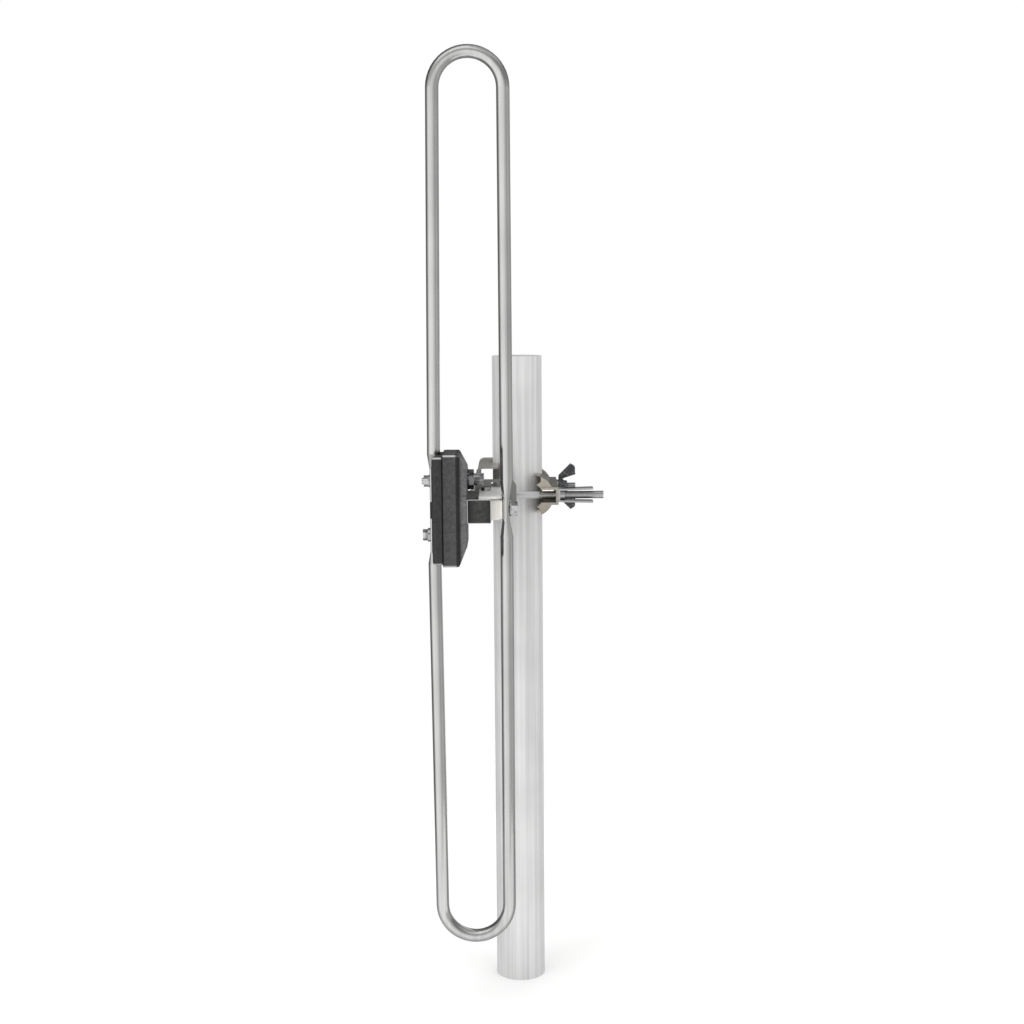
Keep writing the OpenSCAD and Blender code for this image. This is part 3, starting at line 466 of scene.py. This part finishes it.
floor_mat, tree, bsdf, surface = new_material("floor_white")
bsdf.inputs["Base Color"].default_value = opaque(FLOOR_COLOUR)
bsdf.inputs["Roughness"].default_value = FLOOR_ROUGH
rays = add_node(tree, "LightPath")
only_seen = add_node(tree, "Math", {0: rays.outputs["Is Camera Ray"], 1: FLOOR_LIFT},
                     operation="MULTIPLY")
lift = add_node(tree, "Emission", {0: opaque(grey(1)), 1: only_seen.outputs[0]})
plain = add_node(tree, "AddShader", {0: bsdf.outputs[0], 1: lift.outputs[0]})
glow = add_node(tree, "Emission", {0: along(tree, "Y", FLOOR_GLOW), 1: 1.0})
picked = choose(tree, mirror_rays(tree, rays), plain.outputs[0], glow.outputs[0])
tree.links.new(picked, surface.inputs[0])

floor_z = CAD_BOX[0][2]
corners = [(x * FLOOR_HALF, y * FLOOR_HALF, floor_z)
           for x, y in ((-1, -1), (1, -1), (1, 1), (-1, 1))]
floor_mesh = bpy.data.meshes.new("floor")
floor_mesh.from_pydata(corners, [], [(0, 1, 2, 3)])
floor_mesh.materials.append(floor_mat)
obj = bpy.data.objects.new("floor", floor_mesh)
scene.collection.objects.link(obj)


# World: white to the camera, plain light on the object, a striped studio in the metals

SOFT_LIGHT = (0.95, 0.945, 0.94)
# Brightness by bearing in degrees, 0 towards the camera and 90 to the right.
BEARING_GLOW = [(-180, 0.25), (-108, 0.12), (-88, 0.4), (-70, 0.95), (-45, 1.0), (0, 0.84),
                (50, 0.4), (80, 0.5), (110, 0.4), (180, 0.22)]
# Brightness by height, 0 straight down, 0.5 level and 1 straight up.
HEIGHT_GLOW = [(0.0, 0.6), (0.12, 0.95), (0.34, 1.0), (0.56, 1.0), (0.64, 0.5), (0.78, 0.5),
               (0.88, 1.0), (1.0, 1.0)]

world = bpy.data.worlds.new("studio")
scene.world = world
world.use_nodes = True
tree = world.node_tree
tree.nodes.clear()
direction = add_node(tree, "TexCoord")
parts = add_node(tree, "SeparateXYZ", {0: direction.outputs["Generated"]})
towards = add_node(tree, "Math", {0: parts.outputs["Y"], 1: -1}, operation="MULTIPLY")
bearing = add_node(tree, "Math", {0: parts.outputs["X"], 1: towards.outputs[0]},
                   operation="ARCTAN2")
around = ramp(tree, spread(tree, bearing.outputs[0], -math.pi, math.pi),
              [(angle / 360 + 0.5, level) for angle, level in BEARING_GLOW])
height = ramp(tree, spread(tree, parts.outputs["Z"], -1, 1), HEIGHT_GLOW)
soft = add_node(tree, "Background", {0: opaque(SOFT_LIGHT), 1: 1.0})
white = add_node(tree, "Background", {0: opaque(grey(1)), 1: 1.0})
studio = add_node(tree, "Background", {0: multiply(tree, around, height), 1: 1.0})
rays = add_node(tree, "LightPath")
unseen = choose(tree, mirror_rays(tree, rays), soft.outputs[0], studio.outputs[0])
shown = choose(tree, rays.outputs["Is Camera Ray"], unseen, white.outputs[0])
add_node(tree, "OutputWorld", {0: shown})


# Lamps: name, place, width, height and power; all aim at the origin, none shows in the metals

LAMPS = (("key", (-1.3, -1.6, 1.3), 1.6, 1.8, 19),
         ("fill", (1.6, -1.4, 0.5), 1.4, 1.6, 6),
         ("top", (0.1, -0.1, 1.8), 1.4, 1.4, 9),
         ("back", (0.8, 1.5, 0.8), 1.2, 1.4, 4))

for name, place, wide, high, power in LAMPS:
    lamp = bpy.data.lights.new(name, "AREA")
    lamp.energy = power
    lamp.shape = "RECTANGLE"
    lamp.size = wide
    lamp.size_y = high
    obj = bpy.data.objects.new(name, lamp)
    scene.collection.objects.link(obj)
    obj.visible_glossy = False
    obj.location = place
    obj.rotation_euler = (-Vector(place)).to_track_quat("-Z", "Y").to_euler()


# Camera, at the photo's angle

CAMERA_PLACE = Vector((-4.87, -1383.9, 163.9)) * MM
PITCH = math.radians(7.5)
ROLL = math.radians(-0.45)
FOCAL_LENGTH = 57.36
SENSOR_WIDTH = 36
FARTHEST = 30

lens = bpy.data.cameras.new("camera")
lens.sensor_width = SENSOR_WIDTH
lens.lens = FOCAL_LENGTH
lens.clip_end = FARTHEST
camera = bpy.data.objects.new("camera", lens)
scene.collection.objects.link(camera)
look = Vector((0, math.cos(PITCH), -math.sin(PITCH)))
right = Vector((1, 0, 0))
up = right.cross(look)
basis = Matrix((right, up, -look)).transposed().to_4x4()
camera.matrix_world = Matrix.Translation(CAMERA_PLACE) @ basis @ Matrix.Rotation(ROLL, 4, "Z")
scene.camera = camera
